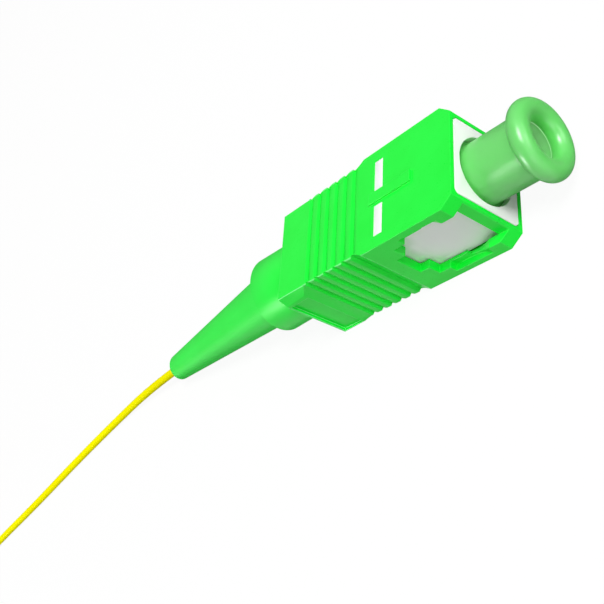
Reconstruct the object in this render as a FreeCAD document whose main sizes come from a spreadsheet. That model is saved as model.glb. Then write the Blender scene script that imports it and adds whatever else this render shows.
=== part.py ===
import FreeCAD, Part
import math
import os
import Sketcher

# SC fibre connector with a boot, a dust cap and a 0.9 mm pigtail.
#
# Every piece is modelled about the ferrule's axis: X = 0 is the front face of the housing, +X points out
# of the ferrule and +Z is the key side. The sheet's front_x and half of housing_tall then carry the
# pieces to their place on the table, where the origin lies under the middle of the connector.

Vector = FreeCAD.Vector
Rotation = FreeCAD.Rotation
Placement = FreeCAD.Placement

# ---------------------------------------------------------------- driving dimensions, in millimetres
DIMENSIONS = {
    # place of the connector in its own frame
    "front_x": 20.15,
    # outer housing
    "housing_wide": 9.0,
    "housing_tall": 7.4,
    "housing_long": 19.9,
    "lead_in_long": 1.05,
    "lead_in_deep": 0.85,
    "grip_start": 9.2,
    "grip_ramp": 0.6,
    "grip_inset": 0.3,
    "grip_end": 16.4,
    "flare_long": 1.0,
    "groove_first": 10.45,
    "groove_pitch": 1.115,
    "groove_count": 6,
    "groove_wide": 0.68,
    "groove_deep": 0.2,
    "groove_slope": 50.0,
    "groove_rail": 0.13,
    "opening_half": 3.35,
    "opening_round": 0.5,
    "collar_long": 1.15,
    "side_wall": 0.8,
    "rib_start": 12.3,
    "rib_thick": 1.5,
    "rib_bore_radius": 3.1,
    "boot_gap": 0.06,
    "collar_gap": 0.16,
    "shoulder_chamfer_y": 0.34,
    "shoulder_chamfer_z": 1.08,
    "panel_start": 17.45,
    "panel_rim": 0.3,
    "panel_top": 2.35,
    "panel_bottom": 3.45,
    "panel_deep": 0.28,
    # latch windows in the housing's two narrow sides
    "window_half": 2.38,
    "window_step": 7.08,
    "window_end": 8.03,
    "window_notch_half": 1.24,
    "wave_start": 2.12,
    "wave_end": 4.22,
    "wave_tall": 0.3,
    "wave_radius": 2.7,
    "bar_inset": 0.72,
    "relief_start": 2.2,
    "relief_floor": 4.2,
    "relief_end": 5.95,
    "relief_half": 3.06,
    "relief_deep": 0.54,
    # key and white marks on the key face
    "key_start": 3.95,
    "key_end": 8.5,
    "key_wide": 1.0,
    "key_tall": 0.2,
    "mark_start": 7.12,
    "mark_end": 8.03,
    "mark_inner": 0.7,
    "mark_outer": 3.43,
    "mark_deep": 0.1,
    # plug frame
    "frame_gap": 0.05,
    "frame_shoulder_half": 3.6,
    "frame_ramp_start": 2.65,
    "frame_ramp_end": 4.55,
    "frame_latch_start": 0.95,
    "frame_latch_end": 2.2,
    "frame_latch_deep": 0.28,
    "frame_rear": 12.2,
    "frame_tail_radius": 3.0,
    "frame_tail_end": 15.3,
    "frame_wall": 0.55,
    "sleeve_deep": 5.2,
    "seat_thick": 1.0,
    "seat_gap": 0.1705,
    "chamber_radius": 2.55,
    "frame_corner": 0.27,
    # ferrule, flange and fibre
    "ferrule_radius": 1.2495,
    "ferrule_tip": 0.8,
    "ferrule_long": 10.5,
    "ferrule_tip_chamfer": 0.35,
    "ferrule_hole_radius": 0.0725,
    "ferrule_funnel_radius": 0.4,
    "ferrule_funnel_long": 1.2,
    "fibre_radius": 0.0625,
    "fibre_end": 10.05,
    "polish_degrees": 8.0,
    "flange_gap": 0.03,
    "flange_radius": 2.3,
    "flange_long": 1.8,
    "flange_tail_wall": 0.2005,
    "flange_tail_end": 13.5,
    "flange_grip": 3.4,
    "flange_notch_wide": 0.8,
    "flange_notch_deep": 0.45,
    "flange_notch_count": 4,
    # spring
    "spring_slide_gap": 0.3,
    "spring_wire_radius": 0.2,
    "spring_turns": 6,
    "spring_seat_gap": 0.1,
    # stop body, its guide tube and the boot
    "stop_face": 14.0,
    "stop_nose_radius": 2.5,
    "stop_collar_start": 15.4,
    "stop_collar_long": 0.8,
    "stop_collar_radius": 3.3,
    "stop_tail_radius": 2.1,
    "stop_tail_end": 22.4,
    "stop_mouth_gap": 0.15,
    "stop_mouth_deep": 0.9,
    "barb_count": 4,
    "barb_first": 17.4,
    "barb_pitch": 1.15,
    "barb_tall": 0.14,
    "tube_radius": 0.78,
    "tube_bore_radius": 0.5,
    "tube_start": 15.2,
    "tube_end": 23.6,
    "boot_start": 16.45,
    "boot_base_radius": 3.4,
    "boot_base_end": 25.2,
    "boot_base_round": 0.16,
    "boot_neck_radius": 2.62,
    "boot_tip_radius": 1.38,
    "boot_tail_long": 21.9,
    "boot_tip_round": 0.3,
    "boot_pivot": 24.4,
    "boot_sag_degrees": 5.4,
    # tight-buffered fibre
    "buffer_radius": 0.45,
    "buffer_start": 10.9,
    "buffer_bend_radius": 20.0,
    "press_gap": 0.02,
    # dust cap
    "cap_sleeve_gap": 0.33,
    "cap_rear": 3.2,
    "cap_ring_centre": 4.95,
    "cap_ring_radius": 2.38,
    "cap_ring_round": 0.82,
    "cap_bore_gap": 0.02,
    "cap_bore_end": 1.7,
    "cap_pocket_radius": 1.72,
    "cap_pocket_floor": 2.6,
    # free fibre and the coil of what is spare
    "lead_first_run": 7.4,
    "coil_x": -92.0,
    "coil_y": -6.0,
    "coil_radius": 10.75,
    "coil_thick": 5.5,
    "coil_tall": 3.6,
    "coil_round": 1.2,
}

# Sizes that follow from the piece they fit, so a change of one carries the other with it.
FITTED = {
    "rear_bore_radius": "boot_base_radius + boot_gap",
    "tail_bore_radius": "stop_collar_radius + collar_gap",
    "sleeve_radius": "opening_half - frame_gap - frame_wall",
    "cap_radius": "sleeve_radius - cap_sleeve_gap",
    "seat_bore_radius": "ferrule_radius + seat_gap",
    "flange_tail_radius": "ferrule_radius + flange_tail_wall",
    "stop_mouth_radius": "flange_tail_radius + stop_mouth_gap",
    "spring_mean_radius": "flange_tail_radius + spring_slide_gap + spring_wire_radius",
}

# The free fibre's route after its first run, as it lies on the table.
LEAD_ROUTE = [
    (-42.0, -1.5, 0.47),
    (-52.0, -4.3, 0.47),
    (-63.0, -7.8, 0.47),
    (-74.2, -10.9, 0.47),
    (-90.2, -15.6, 0.7),
]
RUN_SHARE = 0.45  # how much of its shorter run each bend of the fibre takes up

doc = FreeCAD.newDocument("sc_connector")
sheet = doc.addObject("Spreadsheet::Sheet", "dims")
cells = [(alias, str(size)) for alias, size in DIMENSIONS.items()]
cells += [(alias, f"={formula}") for alias, formula in FITTED.items()]
for row, (alias, content) in enumerate(cells, start=1):
    sheet.set(f"A{row}", alias)
    sheet.set(f"B{row}", content)
    sheet.setAlias(f"B{row}", alias)
doc.recompute()

PIECES = []


def value(formula):
    """The number that a formula of sheet cells gives."""
    return float(sheet.evalExpression(formula))


def dim(alias):
    """One driving dimension as a number."""
    return value(f"dims.{alias}")


# ---------------------------------------------------------------- helpers
def keep(piece, label, along="0"):
    """Names a finished piece and carries it from the ferrule's axis to its place on the table."""
    piece.Label = label
    piece.setExpression("Placement.Base.x", f"dims.front_x + {along}")
    piece.setExpression("Placement.Base.z", "dims.housing_tall / 2")
    PIECES.append(piece)


def body(name):
    return doc.addObject("PartDesign::Body", name)


def origin_feature(owner, role):
    return next(f for f in owner.Origin.OriginFeatures if f.Role == role)


def sketch_on(owner, name, role, offset="0"):
    """A sketch on one of the body's own origin planes, moved along its normal by a formula."""
    sketch = owner.newObject("Sketcher::SketchObject", name)
    sketch.AttachmentSupport = [(origin_feature(owner, role), "")]
    sketch.MapMode = "FlatFace"
    sketch.setExpression("AttachmentOffset.Base.z", offset)
    return sketch


def place_point(sketch, geometry, corner):
    """Holds an edge's first point at two formulas, measured from the sketch's origin."""
    for axis, kind, formula in ((-2, "DistanceX", corner[0]), (-1, "DistanceY", corner[1])):
        if abs(value(formula)) < 1e-9:
            sketch.addConstraint(Sketcher.Constraint("PointOnObject", geometry, 1, axis))
            continue
        constraint = Sketcher.Constraint(kind, -1, 1, geometry, 1, value(formula))
        index = sketch.addConstraint(constraint)
        sketch.setExpression(f"Constraints[{index}]", formula)


def arc_edge(start, end, radius):
    """The short arc that runs anticlockwise between two points."""
    chord = end - start
    inward = Vector(-chord.y, chord.x, 0).normalize()
    centre = (start + end) / 2 + inward * math.sqrt(radius**2 - chord.Length**2 / 4)
    angles = [math.atan2(point.y - centre.y, point.x - centre.x) for point in (start, end)]
    return Part.ArcOfCircle(Part.Circle(centre, Vector(0, 0, 1), radius), *angles)


def polygon(sketch, corners):
    """A closed outline whose corners are pairs of formulas; a third one bends the edge that follows."""
    points = [Vector(value(corner[0]), value(corner[1]), 0) for corner in corners]
    first = sketch.GeometryCount
    for corner, start, end in zip(corners, points, points[1:] + points[:1]):
        if len(corner) == 3:
            sketch.addGeometry(arc_edge(start, end, value(corner[2])), False)
        else:
            sketch.addGeometry(Part.LineSegment(start, end), False)
    count = len(corners)
    for step, corner in enumerate(corners):
        following = first + (step + 1) % count
        sketch.addConstraint(Sketcher.Constraint("Coincident", first + step, 2, following, 1))
        if len(corner) == 3:
            bound = sketch.addConstraint(Sketcher.Constraint("Radius", first + step, value(corner[2])))
            sketch.setExpression(f"Constraints[{bound}]", corner[2])
    for step, corner in enumerate(corners):
        place_point(sketch, first + step, corner)


def rectangle(sketch, left, right, low, high):
    polygon(sketch, [(left, low), (right, low), (right, high), (left, high)])


def circle(sketch, radius, along="0", up="0"):
    """A circle whose radius and centre are formulas."""
    centre = Vector(value(along), value(up), 0)
    index = sketch.addGeometry(Part.Circle(centre, Vector(0, 0, 1), value(radius)), False)
    bound = sketch.addConstraint(Sketcher.Constraint("Radius", index, value(radius)))
    sketch.setExpression(f"Constraints[{bound}]", radius)
    for kind, axis, formula in (("DistanceX", -2, along), ("DistanceY", -1, up)):
        if abs(value(formula)) < 1e-9:
            sketch.addConstraint(Sketcher.Constraint("PointOnObject", index, 3, axis))
            continue
        bound = sketch.addConstraint(Sketcher.Constraint(kind, -1, 1, index, 3, value(formula)))
        sketch.setExpression(f"Constraints[{bound}]", formula)


def mirrored(half):
    """An outline given for one side, closed by its mirror image; each bend stays on its own edge."""
    backwards = half[::-1]
    before = backwards[1:] + [()]
    return half + [(corner[0], f"-({corner[1]})", *bent[2:]) for corner, bent in zip(backwards, before)]


def pad(owner, name, sketch, length, symmetric=False, reverse=False):
    feature = owner.newObject("PartDesign::Pad", name)
    feature.Profile = sketch
    feature.SideType = "Symmetric" if symmetric else "One side"
    feature.Reversed = reverse
    feature.setExpression("Length", length)
    doc.recompute()
    return feature


def pocket(owner, name, sketch, length, symmetric=False, reverse=False, slope="0"):
    """A pocket, with walls that may slope inwards, that must take material away or the build stops."""
    before = owner.Shape.Volume
    feature = owner.newObject("PartDesign::Pocket", name)
    feature.Profile = sketch
    feature.SideType = "Symmetric" if symmetric else "One side"
    feature.Reversed = reverse
    feature.setExpression("Length", length)
    feature.setExpression("TaperAngle", f"-({slope})")
    doc.recompute()
    if not owner.Shape.Volume < before - 1e-6:
        raise RuntimeError(f"{name} cuts nothing")
    return feature


def revolve(owner, name, sketch):
    """Turns a profile, drawn on the XZ plane, once round the ferrule's axis."""
    feature = owner.newObject("PartDesign::Revolution", name)
    feature.Profile = sketch
    feature.ReferenceAxis = (sketch, ["H_Axis"])
    feature.Angle = 360.0
    doc.recompute()
    return feature


def pattern(owner, name, original, axis, length, count):
    """Repeats a pocket along a row, and makes the row the body's result."""
    feature = owner.newObject("PartDesign::LinearPattern", name)
    feature.Originals = [original]
    feature.Direction = axis
    feature.Reversed = True
    feature.setExpression("Length", length)
    feature.setExpression("Occurrences", count)
    owner.Tip = feature
    doc.recompute()
    return feature


def edges_where(feature, test):
    """Names of the edges whose middle passes a test of its place and length."""
    names = []
    for index, edge in enumerate(feature.Shape.Edges, start=1):
        middle = edge.valueAt((edge.FirstParameter + edge.LastParameter) / 2)
        if test(middle, edge):
            names.append(f"Edge{index}")
    return names


def fillet(owner, name, base, test, radius):
    feature = owner.newObject("PartDesign::Fillet", name)
    feature.Base = (base, edges_where(base, test))
    feature.setExpression("Radius", radius)
    doc.recompute()
    return feature


def solid(kind, name, **formulas):
    """A Part primitive whose sizes are formulas, with its own axis turned along X."""
    primitive = doc.addObject(kind, name)
    for field, formula in formulas.items():
        if field != "along":
            primitive.setExpression(field, formula)
    primitive.Placement = Placement(Vector(0, 0, 0), Rotation(Vector(0, 1, 0), 90))
    primitive.setExpression("Placement.Base.x", formulas["along"])
    return primitive


def joined(name, pieces):
    result = doc.addObject("Part::MultiFuse", name)
    result.Shapes = pieces
    return result


def cut(name, base, tool):
    result = doc.addObject("Part::Cut", name)
    result.Base = base
    result.Tool = tool
    return result


# ---------------------------------------------------------------- outer housing
def housing_outline():
    """Half of the housing seen from the key side: lead-in, smooth nose, waisted grip, flared rear."""
    side = "dims.housing_wide / 2"
    waist = f"{side} - dims.grip_inset"
    return [
        ("0", f"{side} - dims.lead_in_deep"),
        ("-dims.lead_in_long", side),
        ("-dims.grip_start", side),
        ("-dims.grip_start - dims.grip_ramp", waist),
        ("-dims.grip_end", waist),
        ("-dims.grip_end - dims.flare_long", f"{side} - dims.grip_inset / 4"),
        ("-dims.housing_long", side),
    ]


def window_outline():
    """Half of a latch window: a shallow wave in its long edge and a step in its rear end."""
    crest = "dims.window_half + dims.wave_tall"
    return [
        ("-dims.collar_long", "dims.window_half"),
        ("-dims.wave_start", "dims.window_half", "dims.wave_radius"),
        ("-dims.wave_end", crest),
        ("-dims.wave_end", "dims.window_half"),
        ("-dims.window_step", "dims.window_half"),
        ("-dims.window_step", "dims.window_notch_half"),
        ("-dims.window_end", "dims.window_notch_half"),
    ]


def relief_outline():
    """Plan of the shallow recess beside a window: an arched ramp down to a flat floor."""
    side = "dims.housing_wide / 2"
    floor = f"{side} - dims.relief_deep"
    ramp = "(dims.relief_floor - dims.relief_start)"
    bend = f"({ramp} ^ 2 + dims.relief_deep ^ 2) / (2 * dims.relief_deep)"
    return [
        ("-dims.relief_floor", floor, bend),
        ("-dims.relief_start", side),
        ("-dims.relief_start", f"{side} + 0.5"),
        ("-dims.relief_end", f"{side} + 0.5"),
        ("-dims.relief_end", floor),
    ]


def cut_grip_grooves(housing):
    """Rows of grooves with sloping walls and ends; a thin rail stays along each edge of the key face."""
    row = "dims.groove_pitch * (dims.groove_count - 1)"
    front = "-dims.groove_first + dims.groove_wide / 2"
    rear = "-dims.groove_first - dims.groove_wide / 2"
    waist = "(dims.housing_wide / 2 - dims.grip_inset)"
    top = "(dims.housing_tall / 2)"
    across = f"{waist} - dims.groove_rail"
    faces = (
        ("key_groove", "XY_Plane", top, False, f"-({across})", across),
        ("base_groove", "XY_Plane", f"-{top}", True, f"-({across})", across),
        ("left_groove", "XZ_Plane", f"-{waist}", True, f"-{top} - 1", f"{top} - dims.groove_rail"),
        ("right_groove", "XZ_Plane", waist, False, f"-{top} - 1", f"{top} - dims.groove_rail"),
    )
    for name, plane, offset, reverse, low, high in faces:
        sketch = sketch_on(housing, f"{name}_section", plane, offset)
        rectangle(sketch, rear, front, low, high)
        groove = pocket(housing, name, sketch, "dims.groove_deep", reverse=reverse, slope="dims.groove_slope")
        pattern(housing, f"{name}s", groove, (sketch, ["H_Axis"]), row, "dims.groove_count")


def cut_housing_inside(housing):
    """Front opening, sprung-latch cavity, stop rib and the round bore that swallows the boot."""
    opening = sketch_on(housing, "opening_section", "YZ_Plane")
    half = "dims.opening_half"
    rectangle(opening, f"-{half}", half, f"-{half}", half)
    mouth = pocket(housing, "opening", opening, "dims.rib_start")
    cavity = sketch_on(housing, "cavity_section", "YZ_Plane", "-dims.collar_long")
    wide = "(dims.housing_wide / 2 - dims.side_wall)"
    rectangle(cavity, f"-{wide}", wide, f"-{half}", half)
    pocket(housing, "cavity", cavity, "dims.rib_start - dims.collar_long")
    rib_end = "dims.rib_start + dims.rib_thick"
    collar_end = "dims.stop_collar_start + dims.stop_collar_long + dims.collar_gap"
    for name, radius, start, end in (
        ("rib_hole", "dims.rib_bore_radius", "dims.frame_rear", rib_end),
        ("tail_bore", "dims.tail_bore_radius", rib_end, collar_end),
        ("rear_bore", "dims.rear_bore_radius", rib_end, "dims.housing_long"),
    ):
        section = sketch_on(housing, f"{name}_section", "YZ_Plane", f"-({start})")
        circle(section, radius)
        pocket(housing, name, section, f"{end} - ({start})")
    return mouth


def cut_latch_windows(housing):
    """Both latch windows, the thin bar before each and the arched recess beside each."""
    window = sketch_on(housing, "window_section", "XZ_Plane")
    polygon(window, mirrored(window_outline()))
    pocket(housing, "windows", window, "dims.housing_wide * 2", symmetric=True)
    thin = "(dims.housing_wide / 2 - dims.bar_inset)"
    outside = "dims.housing_wide"
    for name, sign in (("left_bar", ""), ("right_bar", "-")):
        face = sketch_on(housing, f"{name}_section", "XY_Plane")
        low, high = f"{sign}{thin}", f"{sign}{outside}"
        rectangle(face, "-dims.collar_long - 0.5", "0.5", low, high)
        pocket(housing, name, face, "dims.window_half * 2", symmetric=True)
    whole = mirrored(relief_outline())
    for name, corners in (("left_relief", whole[:5]), ("right_relief", whole[5:])):
        relief = sketch_on(housing, f"{name}_section", "XY_Plane")
        polygon(relief, corners)
        pocket(housing, name, relief, "dims.relief_half * 2", symmetric=True)


def finish_rear_block(housing):
    """Long chamfers beside the key face and a bare recessed panel on each side of the rear block."""
    side, top = "dims.housing_wide / 2", "dims.housing_tall / 2"
    depth_y, depth_z = "dims.shoulder_chamfer_y", "dims.shoulder_chamfer_z"
    chamfer = sketch_on(housing, "chamfer_section", "YZ_Plane", "-dims.grip_end")
    for sign in ("", "-"):
        corners = [
            (f"{sign}({side} - {depth_y})", top),
            (f"{sign}({side} - {depth_y})", f"{top} + 0.5"),
            (f"{sign}({side} + 0.5)", f"{top} + 0.5"),
            (f"{sign}({side} + 0.5)", f"{top} - {depth_z}"),
            (f"{sign}({side})", f"{top} - {depth_z}"),
        ]
        polygon(chamfer, corners)
    pocket(housing, "rear_chamfers", chamfer, "dims.housing_long")
    for name, sign in (("left_panel", ""), ("right_panel", "-")):
        panel = sketch_on(housing, f"{name}_section", "XY_Plane", "-dims.panel_bottom")
        floor, outside = f"{sign}({side} - dims.panel_deep)", f"{sign}({side} + 0.5)"
        rectangle(panel, "-dims.housing_long + dims.panel_rim", "-dims.panel_start", floor, outside)
        pocket(housing, name, panel, "dims.panel_top + dims.panel_bottom", reverse=True)


def build_housing():
    housing = body("outer_housing_body")
    outline = sketch_on(housing, "housing_plan", "XY_Plane")
    polygon(outline, mirrored(housing_outline()))
    pad(housing, "housing_block", outline, "dims.housing_tall", symmetric=True)
    mouth = cut_housing_inside(housing)
    cut_grip_grooves(housing)
    cut_latch_windows(housing)
    finish_rear_block(housing)
    key = sketch_on(housing, "key_plan", "XY_Plane", "dims.housing_tall / 2")
    rectangle(key, "-dims.key_end", "-dims.key_start", "-dims.key_wide / 2", "dims.key_wide / 2")
    pad(housing, "key", key, "dims.key_tall")
    marks = sketch_on(housing, "marks_plan", "XY_Plane", "dims.housing_tall / 2")
    for low, high in (("dims.mark_inner", "dims.mark_outer"), ("-dims.mark_outer", "-dims.mark_inner")):
        rectangle(marks, "-dims.mark_end", "-dims.mark_start", low, high)
    pocket(housing, "marks", marks, "dims.mark_deep")
    round_opening(housing)
    keep(housing, "outer_housing")


def round_opening(housing):
    """Rounds the four corners of the front opening as far as the latch cavity."""
    half = dim("opening_half")
    reach = dim("collar_long")

    def at_corner(middle, edge):
        near = abs(abs(middle.y) - half) < 0.01 and abs(abs(middle.z) - half) < 0.01
        return near and -reach - 0.01 < middle.x < 0

    fillet(housing, "opening_corners", housing.Tip, at_corner, "dims.opening_round")


# ---------------------------------------------------------------- plug frame
def frame_outline():
    """Half of the plug frame seen from the key side: latch hollow, ramp and shoulder."""
    nose = "dims.opening_half - dims.frame_gap"
    hollow = f"{nose} - dims.frame_latch_deep"
    return [
        ("0", nose),
        ("-dims.frame_latch_start", nose),
        ("-dims.frame_latch_start - 0.3", hollow),
        ("-dims.frame_latch_end", f"{nose} - 0.04"),
        ("-dims.frame_ramp_start", nose),
        ("-dims.frame_ramp_end", "dims.frame_shoulder_half"),
        ("-dims.frame_rear", "dims.frame_shoulder_half"),
    ]


def build_plug_frame():
    frame = body("plug_frame_body")
    plan = sketch_on(frame, "frame_plan", "XY_Plane")
    polygon(plan, mirrored(frame_outline()))
    half = "(dims.opening_half - dims.frame_gap)"
    pad(frame, "frame_block", plan, f"{half} * 2", symmetric=True)
    corners = sketch_on(frame, "frame_corner_section", "YZ_Plane")
    for side, up in (("", ""), ("-", ""), ("", "-"), ("-", "-")):
        triangle = [
            (f"{side}({half} - dims.frame_corner - 0.5)", f"{up}({half} + 0.5)"),
            (f"{side}({half} + 1)", f"{up}({half} + 0.5)"),
            (f"{side}({half} + 1)", f"{up}({half} - dims.frame_corner - 1)"),
        ]
        polygon(corners, triangle)
    pocket(frame, "frame_corners", corners, "dims.frame_rear + 1")
    tail = sketch_on(frame, "frame_tail_section", "YZ_Plane", "-dims.frame_rear")
    circle(tail, "dims.frame_tail_radius")
    pad(frame, "frame_tail", tail, "dims.frame_tail_end - dims.frame_rear", reverse=True)
    for name, radius, start, length in (
        ("sleeve_cavity", "dims.sleeve_radius", "0", "dims.sleeve_deep"),
        ("seat_bore", "dims.seat_bore_radius", "-dims.sleeve_deep", "dims.seat_thick"),
        (
            "spring_chamber",
            "dims.chamber_radius",
            "-dims.sleeve_deep - dims.seat_thick",
            "dims.frame_tail_end - dims.sleeve_deep - dims.seat_thick",
        ),
    ):
        section = sketch_on(frame, f"{name}_section", "YZ_Plane", start)
        circle(section, radius)
        pocket(frame, name, section, length)
    keep(frame, "plug_frame")


# ---------------------------------------------------------------- ferrule group
def polish_tool(name):
    """A block that takes the ferrule's end down to the angled polish."""
    block = doc.addObject("Part::Box", name)
    side = 4 * dim("ferrule_radius")
    block.Length, block.Width, block.Height = side, side, side
    tip = dim("ferrule_tip")
    lean = Rotation(Vector(0, 1, 0), -dim("polish_degrees"))
    corner = lean.multVec(Vector(0, -side / 2, -side / 2))
    block.Placement = Placement(Vector(tip, 0, 0) + corner, lean)
    return block


def build_ferrule():
    """Zirconia ferrule: chamfered tip with an angled polish, a fine hole and a funnel behind it."""
    ferrule = body("ferrule_body")
    section = sketch_on(ferrule, "ferrule_section", "XZ_Plane")
    front = "dims.ferrule_tip + dims.ferrule_radius * 0.1"
    rear = "dims.ferrule_tip - dims.ferrule_long"
    outline = [
        (rear, "dims.ferrule_funnel_radius"),
        (rear, "dims.ferrule_radius"),
        (f"{front} - dims.ferrule_tip_chamfer", "dims.ferrule_radius"),
        (front, "dims.ferrule_radius - dims.ferrule_tip_chamfer"),
        (front, "dims.ferrule_hole_radius"),
        (f"{rear} + dims.ferrule_funnel_long", "dims.ferrule_hole_radius"),
    ]
    polygon(section, outline)
    revolve(ferrule, "ferrule_turned", section)
    keep(cut("ferrule", ferrule, polish_tool("ferrule_polish")), "ferrule")


def build_glass_fibre():
    """The bare fibre, bonded in the ferrule's hole and polished with its end."""
    core = solid(
        "Part::Cylinder",
        "fibre_core",
        Radius="dims.fibre_radius",
        Height="dims.ferrule_tip + dims.ferrule_radius + dims.fibre_end",
        along="-dims.fibre_end",
    )
    keep(cut("glass_fibre", core, polish_tool("fibre_polish")), "glass_fibre")


def build_flange():
    """Metal flange: notched collar that seats in the frame, and the tail that the spring slides on."""
    flange = body("ferrule_flange_body")
    face = "-dims.sleeve_deep - dims.seat_thick - dims.flange_gap"
    ferrule_end = "dims.ferrule_tip - dims.ferrule_long"
    collar_end = f"{face} - dims.flange_long"
    bore = "dims.ferrule_radius + 0.0005"
    section = sketch_on(flange, "flange_section", "XZ_Plane")
    outline = [
        (face, bore),
        (face, "dims.flange_radius"),
        (collar_end, "dims.flange_radius"),
        (collar_end, "dims.flange_tail_radius"),
        ("-dims.flange_tail_end", "dims.flange_tail_radius"),
        ("-dims.flange_tail_end", "dims.tube_bore_radius + dims.press_gap"),
        (ferrule_end, "dims.tube_bore_radius + dims.press_gap"),
        (ferrule_end, bore),
    ]
    polygon(section, outline)
    revolve(flange, "flange_turned", section)
    notch = sketch_on(flange, "notch_section", "YZ_Plane", collar_end)
    floor = "dims.flange_radius - dims.flange_notch_deep"
    half = "dims.flange_notch_wide / 2"
    rectangle(notch, f"-{half}", half, floor, "dims.flange_radius + 0.5")
    single = pocket(flange, "notch", notch, "dims.flange_long", reverse=True)
    ring = flange.newObject("PartDesign::PolarPattern", "notches")
    ring.Originals = [single]
    ring.Axis = (origin_feature(flange, "X_Axis"), [""])
    ring.Angle = 360.0
    ring.setExpression("Occurrences", "dims.flange_notch_count")
    flange.Tip = ring
    doc.recompute()
    keep(flange, "ferrule_flange")


def build_spring():
    """Compression spring between the flange's collar and the stop body's face."""
    reach = "dims.spring_wire_radius + dims.spring_seat_gap"
    collar = "dims.sleeve_deep + dims.seat_thick + dims.flange_gap + dims.flange_long"
    length = f"dims.stop_face - ({collar}) - 2 * ({reach})"
    helix = doc.addObject("Part::Helix", "spring_path")
    helix.setExpression("Radius", "dims.spring_mean_radius")
    helix.setExpression("Height", length)
    helix.setExpression("Pitch", f"({length}) / dims.spring_turns")
    wire = doc.addObject("Part::Circle", "spring_wire")
    wire.setExpression("Radius", "dims.spring_wire_radius")
    wire.setExpression("Placement.Base.x", "dims.spring_mean_radius")
    wire.Placement.Rotation = Rotation(Vector(1, 0, 0), 90)
    spring = doc.addObject("Part::Sweep", "spring_coil")
    spring.Sections = [wire]
    spring.Spine = (helix, [])
    spring.Solid = True
    spring.Frenet = True
    spring.Placement.Rotation = Rotation(Vector(0, 1, 0), 90)
    keep(spring, "spring", f"{reach} - dims.stop_face")


# ---------------------------------------------------------------- stop body, guide tube, boot
def barbed_tail():
    """Points of the stop body's tail from its collar to its end, with ramped barbs that hold the boot."""
    points = []
    for step in range(int(dim("barb_count"))):
        foot = f"-dims.barb_first - {step} * dims.barb_pitch"
        points.append((foot, "dims.stop_tail_radius"))
        points.append((foot, "dims.stop_tail_radius + dims.barb_tall"))
        points.append((f"{foot} - dims.barb_pitch * 0.7", "dims.stop_tail_radius"))
    return points


def build_stop_body():
    stop = body("stop_body_body")
    collar_end = "-dims.stop_collar_start - dims.stop_collar_long"
    mouth_end = "-dims.stop_face - dims.stop_mouth_deep"
    bore = "dims.tube_radius + dims.press_gap"
    section = sketch_on(stop, "stop_section", "XZ_Plane")
    outline = [
        ("-dims.stop_face", "dims.stop_mouth_radius"),
        ("-dims.stop_face", "dims.stop_nose_radius"),
        ("-dims.stop_collar_start", "dims.stop_nose_radius"),
        ("-dims.stop_collar_start", "dims.stop_collar_radius"),
        (collar_end, "dims.stop_collar_radius"),
        (collar_end, "dims.stop_tail_radius"),
        *barbed_tail(),
        ("-dims.stop_tail_end", "dims.stop_tail_radius"),
        ("-dims.stop_tail_end", bore),
        (mouth_end, bore),
        (mouth_end, "dims.stop_mouth_radius"),
    ]
    polygon(section, outline)
    revolve(stop, "stop_turned", section)
    keep(stop, "stop_body")


def build_guide_tube():
    tube = body("guide_tube_body")
    section = sketch_on(tube, "tube_section", "XZ_Plane")
    rectangle(section, "-dims.tube_end", "-dims.tube_start", "dims.tube_bore_radius", "dims.tube_radius")
    revolve(tube, "tube_turned", section)
    keep(tube, "guide_tube")


def sagging(point):
    """Turns a point about the boot's pivot, by the angle that its tail hangs at."""
    pivot = Vector(-dim("boot_pivot"), 0, 0)
    return pivot + Rotation(Vector(0, 1, 0), -dim("boot_sag_degrees")).multVec(point - pivot)


def hang_from_pivot(piece):
    """Lays a tail piece along the sagging axis; its own axis starts at the pivot."""
    heading = Rotation(Vector(0, 1, 0), -90 - dim("boot_sag_degrees"))
    piece.Placement = Placement(Vector(-dim("boot_pivot"), 0, 0), heading)


def build_boot():
    """Strain-relief boot: round base in the housing's rear bore and a smooth tail that sags a little."""
    base = body("boot_base_body")
    section = sketch_on(base, "boot_base_section", "XZ_Plane")
    grip = "dims.stop_tail_radius + dims.barb_tall + dims.press_gap"
    bore = "dims.tube_radius + dims.press_gap"
    grip_end = "-dims.stop_tail_end - dims.press_gap"
    outline = [
        ("-dims.boot_start", grip),
        ("-dims.boot_start", "dims.boot_base_radius"),
        ("-dims.boot_base_end + dims.boot_base_round", "dims.boot_base_radius"),
        ("-dims.boot_base_end", "dims.boot_base_radius - dims.boot_base_round"),
        ("-dims.boot_base_end", bore),
        (grip_end, bore),
        (grip_end, grip),
    ]
    polygon(section, outline)
    revolve(base, "boot_base_turned", section)
    tail = doc.addObject("Part::Cone", "boot_tail")
    tail.setExpression("Radius1", "dims.boot_neck_radius")
    tail.setExpression("Radius2", "dims.boot_tip_radius")
    tail.setExpression("Height", "dims.boot_tail_long")
    hang_from_pivot(tail)
    hole = doc.addObject("Part::Cylinder", "boot_tail_hole")
    hole.setExpression("Radius", "dims.tube_bore_radius")
    hole.setExpression("Height", "dims.boot_tail_long * 1.1")
    hang_from_pivot(hole)
    doc.recompute()
    rounded = doc.addObject("Part::Fillet", "boot_tail_rounded")
    rounded.Base = tail
    radius = dim("boot_tip_round")
    tip = min(range(len(tail.Shape.Edges)), key=lambda k: tail.Shape.Edges[k].BoundBox.XMin)
    rounded.Edges = [(tip + 1, radius, radius)]
    shank = solid(
        "Part::Cylinder",
        "boot_shank_hole",
        Radius=bore,
        Height="dims.boot_pivot - dims.stop_tail_end",
        along="-dims.boot_pivot",
    )
    outside = joined("boot_outside", [base, rounded])
    keep(cut("boot", outside, joined("boot_holes", [hole, shank])), "boot")


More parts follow.
